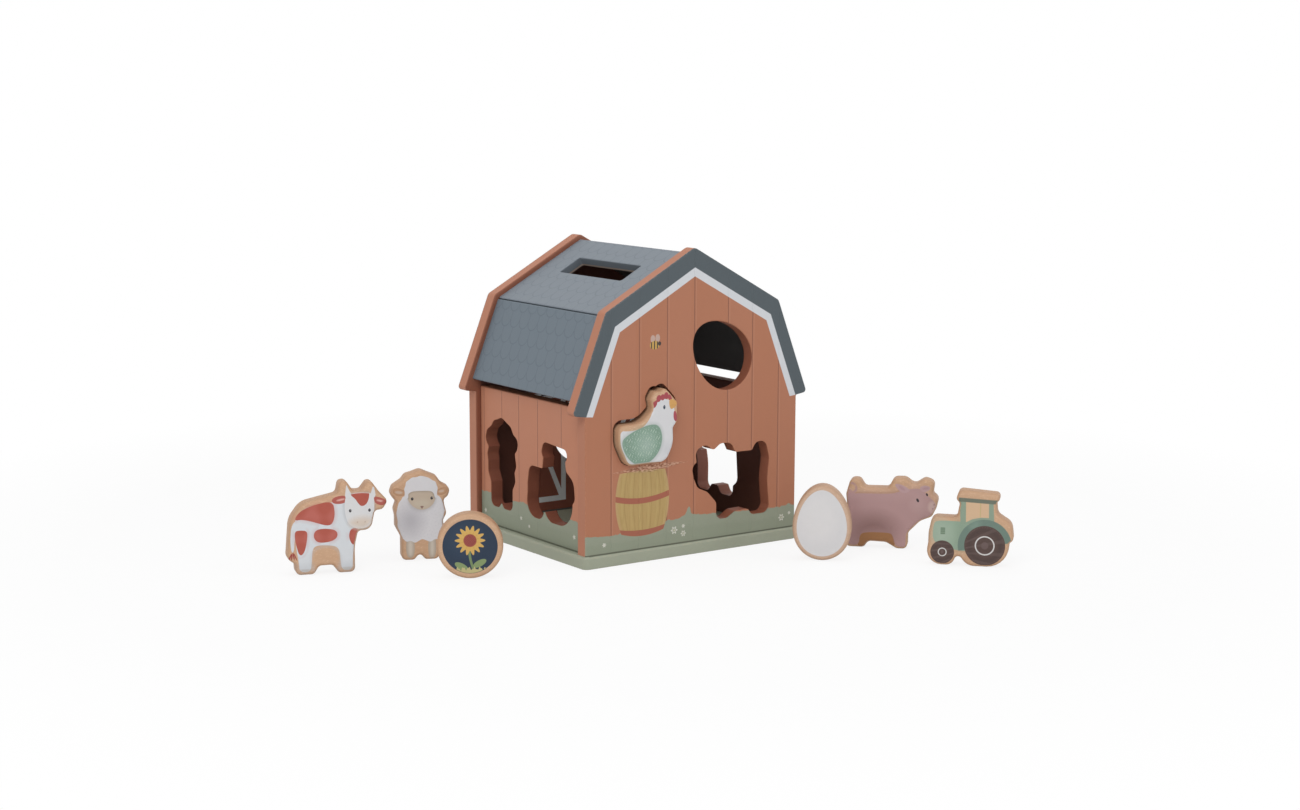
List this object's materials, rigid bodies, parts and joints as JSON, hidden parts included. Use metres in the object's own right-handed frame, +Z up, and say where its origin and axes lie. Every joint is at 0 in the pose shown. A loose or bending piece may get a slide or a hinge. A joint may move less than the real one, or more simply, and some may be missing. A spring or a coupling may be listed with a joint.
{
  "type": "farm shape sorter",
  "caption": "Wooden toy barn with cut-outs in its walls, a slot in its gambrel roof and a back door, with loose animal, tractor, egg and round blocks to post.",
  "frame": {"origin": "middle of the base board's underside, on the floor", "axes": "+X to the right of the front gable, +Y to the back, +Z up"},
  "size_m": [0.3803, 0.2794, 0.1911],
  "materials": {
    "base_paint": "matt sage green paint",
    "gable_paint": "matt terracotta print with plank lines, pale and slate roof bands, natural edges",
    "wall_paint": "matt terracotta print with plank lines and a sage grass edge, dark red-brown inside",
    "upper_roof_paint": "matt pale slate print with a faint shingle pattern",
    "lower_roof_paint": "matt slate print with a faint shingle pattern",
    "door_paint": "matt terracotta with a pale braced frame",
    "pin_steel": "plain steel pin",
    "magnet_plating": "nickel plated disc magnet",
    "dowel_wood": "bare fluted beech",
    "screw_steel": "zinc plated countersunk screw",
    "cow_print": "light wood printed white with red-brown patches",
    "sheep_print": "light wood printed with a white fleece and beige face",
    "round_print": "light wood with a navy printed disc",
    "egg_print": "light wood printed white inside a bare rim",
    "pig_print": "light wood printed dusty pink",
    "tractor_print": "light wood printed soft green with dark tyres",
    "hen_print": "light wood printed white with a green wing and red comb"
  },
  "bodies": {
    "barn": {"base_board": "base_paint", "front_gable": "gable_paint", "back_gable": "gable_paint", "left_wall": "wall_paint", "right_wall": "wall_paint", "upper_left_roof": "upper_roof_paint", "upper_right_roof": "upper_roof_paint", "lower_left_roof": "lower_roof_paint", "lower_right_roof": "lower_roof_paint", "jamb_magnet": "magnet_plating", "wall_dowels": "dowel_wood", "roof_dowels": "dowel_wood", "base_screws": "screw_steel"},
    "door": {"back_door": "door_paint", "door_pin_upper": "pin_steel", "door_pin_lower": "pin_steel", "door_magnet": "magnet_plating"},
    "cow": {"cow_block": "cow_print"},
    "sheep": {"sheep_block": "sheep_print"},
    "disc": {"round_block": "round_print"},
    "egg": {"egg_block": "egg_print"},
    "pig": {"pig_block": "pig_print"},
    "tractor": {"tractor_block": "tractor_print"},
    "hen": {"hen_block": "hen_print"}
  },
  "joints": [
    {"name": "door_hinge", "type": "hinge", "parent": "barn", "child": "door", "pos_m": [-0.0425, 0.06375, 0.049], "axis": [0, 0, 1], "range_deg": [0, 100]},
    {"name": "hen_push", "type": "slide", "parent": "barn", "child": "hen", "axis": [0, -1, 0], "range_m": [-0.02, 0.03]},
    {"name": "cow_lift", "type": "slide", "parent": "barn", "child": "cow", "axis": [0, 0, 1], "range_m": [0, 0.06]},
    {"name": "sheep_lift", "type": "slide", "parent": "barn", "child": "sheep", "axis": [0, 0, 1], "range_m": [0, 0.06]},
    {"name": "disc_lift", "type": "slide", "parent": "barn", "child": "disc", "axis": [0, 0, 1], "range_m": [0, 0.06]},
    {"name": "egg_lift", "type": "slide", "parent": "barn", "child": "egg", "axis": [0, 0, 1], "range_m": [0, 0.06]},
    {"name": "pig_lift", "type": "slide", "parent": "barn", "child": "pig", "axis": [0, 0, 1], "range_m": [0, 0.06]},
    {"name": "tractor_lift", "type": "slide", "parent": "barn", "child": "tractor", "axis": [0, 0, 1], "range_m": [0, 0.06]}
  ]
}
